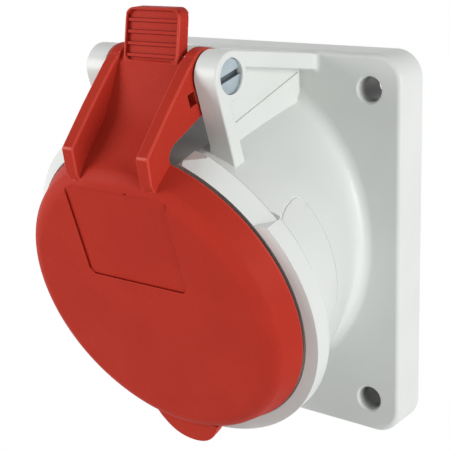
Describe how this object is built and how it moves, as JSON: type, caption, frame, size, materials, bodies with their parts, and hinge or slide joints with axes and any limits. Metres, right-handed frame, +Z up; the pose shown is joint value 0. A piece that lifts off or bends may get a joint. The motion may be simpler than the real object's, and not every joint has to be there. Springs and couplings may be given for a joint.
{
  "type": "industrial socket",
  "caption": "Red and grey industrial socket for panel mounting, with a downward-angled round housing, a square-cornered fixing flange and a spring-closed hinged lid.",
  "frame": {"origin": "centre of the fixing-hole pattern on the mounting face, at the back of the flange", "axes": "-Y out of the front of the socket, +Z up, +X to the right of a viewer who stands in front and looks along +Y"},
  "size_m": [0.075, 0.0778, 0.0966],
  "materials": {
    "housing_grey": "smooth moulded, satin",
    "lid_red": "smooth moulded, satin",
    "pin_steel": "plated, satin",
    "spring_steel": "drawn wire",
    "seal_black": "soft, matt",
    "insert_dark": "moulded, matt",
    "contact_brass": "plated, satin",
    "screw_steel": "zinc plated"
  },
  "bodies": {
    "socket": {"housing": "housing_grey", "hinge_pin": "pin_steel", "lid_spring": "spring_steel", "flange_gasket": "seal_black", "contact_carrier": "insert_dark", "terminal_block": "insert_dark", "terminal_screws": "screw_steel", "insert_screws": "screw_steel", "sleeve_pe": "contact_brass", "clip_pe": "spring_steel", "sleeve_l1": "contact_brass", "clip_l1": "spring_steel", "sleeve_l2": "contact_brass", "clip_l2": "spring_steel", "sleeve_l3": "contact_brass", "clip_l3": "spring_steel", "sleeve_n": "contact_brass", "clip_n": "spring_steel"},
    "lid": {"lid": "lid_red", "lid_gasket": "seal_black"}
  },
  "joints": [
    {"name": "lid_hinge", "type": "hinge", "parent": "socket", "child": "lid", "pos_m": [0, -0.03903, 0.04128], "axis": [-1, 0, 0], "range_deg": [0, 100], "stiffness_Nm_per_rad": 0.03, "springref_deg": -68.75}
  ]
}
